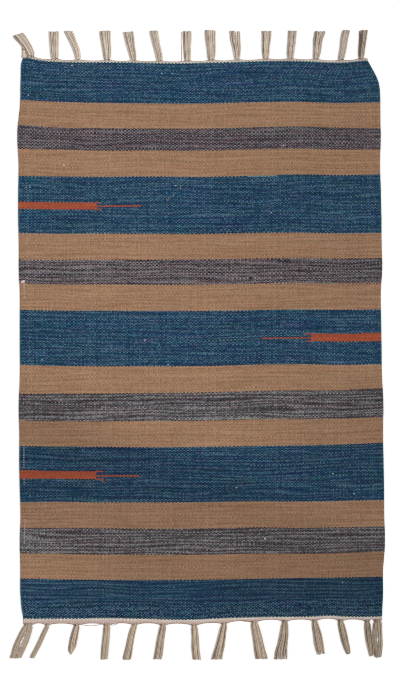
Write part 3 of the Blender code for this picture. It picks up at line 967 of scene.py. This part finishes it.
def tasselPaths(side, number, row):
    values = {**tasselValues, **tasselValues["special"].get((side, number), {})}
    root, width, endAcross, endAlong, spread = row
    sign = 1 if side == "top" else -1
    start = float(bandEdge(side, np.array([root]))[0]) + bandValues["gap"]
    pick = random.Random(values["seed"] * number + sign)
    share = np.linspace(0, 1, values["steps"] + 1)
    phase, knot, under = pick.uniform(0, math.tau), values["knotOut"], values["underBand"]
    paths = []
    for layer, (pitch, radius, rise, least, most, fill) in enumerate(values["layers"]):
        count = max(3, round(width / pitch))
        for i in range(count):
            place = ((i + 0.5) / count - 0.5) * fill
            place += pick.uniform(-values["unevenPlaces"], values["unevenPlaces"]) / count
            isShadeLine = layer and i % values["shadeLineEvery"] == 1 and i < count - 1
            reach = endAlong - start + pick.uniform(-1, 1) * values["unevenTips"]
            reach *= 1 - 0.5 * values["roundTip"] * place * place
            reach += values["tipSlant"] * place
            out = -under + (reach + under) * share
            loose = np.clip((out - knot) / (reach - knot), 0, 1)
            fan = np.interp(out, [0, knot, 3 * knot], [0.9, values["gather"], 1])
            fan = width * fan + (spread - width) * loose ** values["fanPower"]
            midway = np.sin(math.pi * loose)
            fan += 2 * values["bulge"] * midway
            fan *= 1 - values["roundTip"] * loose**5
            across = place * fan + (endAcross - root) * loose ** values["leanPower"]
            across += values["wander"] * 0.6 * np.sin(phase + 5 * loose) * midway
            swing = pick.uniform(-1, 1) * values["wander"]
            rate = pick.uniform(*values["wanderRates"])
            across += swing * np.sin(rate * loose + pick.uniform(0, 6)) * loose
            across += math.copysign(values["hollow"], place) * midway
            thick = values["shadeLineRadius"]
            if not isShadeLine:
                thick = radius * pick.uniform(*values["unevenRadius"])
            height = thick + (rise - radius) * (1 - values["sink"] * loose)
            tip = np.clip((share - 1 + values["tipLength"]) / values["tipLength"], 0, 1)
            radii = thick * (1 - (1 - values["tipShare"]) * tip)
            tone = pick.uniform(*(values["shadeLineTones"] if isShadeLine else (least, most)))
            tone -= values["leftShade"] * min(max(-4 * (place + values["shadeFrom"]), 0), 1)
            paths.append(yarnPath(root + across, sign * (start + out), height, radii, tone))
    if values["crossings"]:
        paths += crossingPaths(values, row, sign, start, pick)
    return paths + knotPaths(values, root, width, side, sign, start)


def crossingPaths(values, row, sign, start, pick):  # wavy yarns across a tassel's hollow
    root, width, endAcross, endAlong, _ = row
    paths = []
    for i in range(values["crossings"]):
        loose = np.linspace(0, 1, 19)
        x = root + (endAcross - root) * loose
        x += 0.4 * width * np.sin((5 + i) * loose + 2.1 * i) * (1 - 0.4 * loose)
        y = start + (endAlong - start - 0.002) * loose
        height, radius = 0.0022 + 0.0004 * i, values["shadeLineRadius"] * 0.9
        paths.append(yarnPath(x, sign * y, height, radius, pick.uniform(0.5, 0.9)))
    return paths


def knotPaths(values, root, width, side, sign, start):
    paths = []
    for wrap, (radius, tone) in enumerate(values["knotWraps"]):
        turn = np.linspace(-0.6, math.tau - 0.4, 21) + math.pi * wrap
        out = values["knotOut"] - wrap * 2.2 * radius
        half = values["knotHalfWidth"] * width * (0.55 if wrap else 1)
        x = root + half * np.cos(turn) + wrap * values["knotSide"][side] * width
        y = start + out + values["knotSlant"] * np.sin(turn + 0.6) * (1 if wrap else -1)
        z = values["knotHeight"] + values["knotRise"] * np.sin(turn) + wrap * 0.0005
        paths.append(yarnPath(x, sign * y, z, radius, tone))
    return paths


cotton = cottonMaterial("fringeCotton", tasselValues["dark"], tasselValues["pale"])
tassels = []
for side, rows in tasselRows.items():
    for number, row in enumerate(rows, start=1):
        name = f"tassel{side.capitalize()}{number:02d}"
        paths = tasselPaths(side, number, row)
        if (side, number) == ("top", 1):
            paths += tasselPaths(side, 0, tasselValues["cornerLock"])
        tassel = layYarns(name, paths, cotton)
        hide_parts(f"tassel_{side}_{number:02d}")
        tassels.append(tassel)
print("tassels knotted:", len(tassels), "with",
      sum(len(tassel.data.polygons) for tassel in tassels), "faces")


# cords twined along the bands' outer edges, and loose threads

cordValues = {
    "radius": 0.0007,
    "out": 0.0002,
    "height": 0.0013,
    "yarn": {"Ring Spacing": 0.0013, "Twist Length": 0.005, "Sides": 6, "Fuzz": 0.0002},
    "dark": dye(138, 100, 86),
    "pale": dye(202, 166, 150),
    "threadRadius": 0.0006,
    "threadHeight": 0.0008,
    # from where to where across, how far out it sags
    "threads": {
        "top": [],
        "bottom": [
            (-0.301, -0.246, 0.004), (-0.228, -0.205, 0.0036), (0.1, 0.156, 0.0035),
        ],
    },
    "single": {"top": [(-0.0465, -0.047, 0.776)], "bottom": []},  # root and end
}


def cordPaths(side):
    values = cordValues
    sign, _, span = bandSpan(side)
    across = span[1:-1]
    along = bandEdge(side, across) + values["out"]
    paths = [yarnPath(across, sign * along, values["height"], values["radius"], 0.6)]
    height, radius = values["threadHeight"], values["threadRadius"]
    for low, high, sag in values["threads"][side]:
        x, ends = np.linspace(low, high, 12), bandEdge(side, np.array([low, high]))
        y = np.interp(x, [low, high], ends) + sag * np.sin(math.pi * (x - low) / (high - low))
        paths.append(yarnPath(x, sign * y, height, radius, 0.9))
    for root, endAcross, endAlong in values["single"][side]:
        share = np.linspace(0, 1, 12)
        start = float(bandEdge(side, np.array([root]))[0]) - 0.001
        x = root + (endAcross - root) * share + 0.0004 * np.sin(7 * share)
        y = start + (endAlong - start) * share
        paths.append(yarnPath(x, sign * y, height, radius, 0.5))
    return paths


blush = cottonMaterial("edgeCord", cordValues["dark"], cordValues["pale"])
cords = [
    layYarns("edgeCord" + side.capitalize(), cordPaths(side), blush, **cordValues["yarn"])
    for side in ("top", "bottom")
]
print("edge cords laid")


# fibres lying loose on the cloth

fibreValues = {
    "radius": 0.00045,
    "height": 0.0044,
    "tone": 0.15,
    # places across and along
    "paths": [
        [(-0.0597, 0.3726), (-0.0667, 0.3651), (-0.073, 0.3593), (-0.0793, 0.355),
         (-0.0826, 0.3474)],
        [(-0.0494, 0.3903), (-0.0491, 0.384), (-0.0489, 0.3777)],
    ],
}

fibrePaths = [
    yarnPath(*np.array(places).T, fibreValues["height"], fibreValues["radius"], fibreValues["tone"])
    for places in fibreValues["paths"]
]
looseFibres = layYarns("looseFibres", fibrePaths, cotton, Sides=5)
print("loose fibres laid")


# floor, light and camera

stageValues = {
    "floor": 80,
    "floorColour": dye(248, 248, 248),
    "sky": 0.72,
    "keyStrength": 1.55,
    "keySpread": 0.5,  # the width of the lamp as the rug sees it
    "keyPlace": (1.7, 0.9, 2.9),
    "cameraHeight": 6,
    "viewLength": 1.7273,  # of floor along the rug
    "viewMiddle": (0, -0.0076),
}


def makeFloor():
    half = stageValues["floor"] / 2
    corners = [(-half, -half), (half, -half), (half, half), (-half, half)]
    mesh = bpy.data.meshes.new("floor")
    mesh.from_pydata([(x, y, -0.0002) for x, y in corners], [], [(0, 1, 2, 3)])
    material, n = newMaterial("paleFloor")
    sockets = {
        "Base Color": stageValues["floorColour"], "Roughness": 0.7, "Specular IOR Level": 0.2,
    }
    shader = n.add("ShaderNodeBsdfPrincipled", sockets)
    n.add("ShaderNodeOutputMaterial", {"Surface": shader})
    return newObject("floor", mesh, material)


def makeLights():
    world = bpy.data.worlds.new("softSky")
    scene.world = world
    world.use_nodes = True
    n = Nodes(world.node_tree)
    sky = n.add("ShaderNodeBackground", {"Color": [1, 1, 1, 1], "Strength": stageValues["sky"]})
    n.add("ShaderNodeOutputWorld", {"Surface": sky})
    lamp = bpy.data.lights.new("keyLight", "SUN")
    lamp.energy, lamp.angle = stageValues["keyStrength"], stageValues["keySpread"]
    light = newObject("keyLight", lamp)
    light.location = stageValues["keyPlace"]
    light.rotation_euler = (-light.location).to_track_quat("-Z", "Y").to_euler()


def makeCamera():
    lens = bpy.data.cameras.new("camera")
    lens.sensor_width = 36
    lens.lens = 36 * stageValues["cameraHeight"] / stageValues["viewLength"]
    lens.clip_end = 100
    camera = newObject("camera", lens)
    middle = stageValues["viewMiddle"]
    camera.location = (offset[0] + middle[0], offset[1] + middle[1], stageValues["cameraHeight"])
    scene.camera = camera


makeFloor()
makeLights()
makeCamera()
scene.view_settings.view_transform = "Standard"
scene.cycles.filter_width = 1
print("stage set")


# what each piece rides on

body = "root"
edges, fringe = [*bands.values(), *cords], [*tassels, looseFibres]
for piece in [field, *edges, *fringe]:
    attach(piece, body)

bpy.context.view_layer.update()
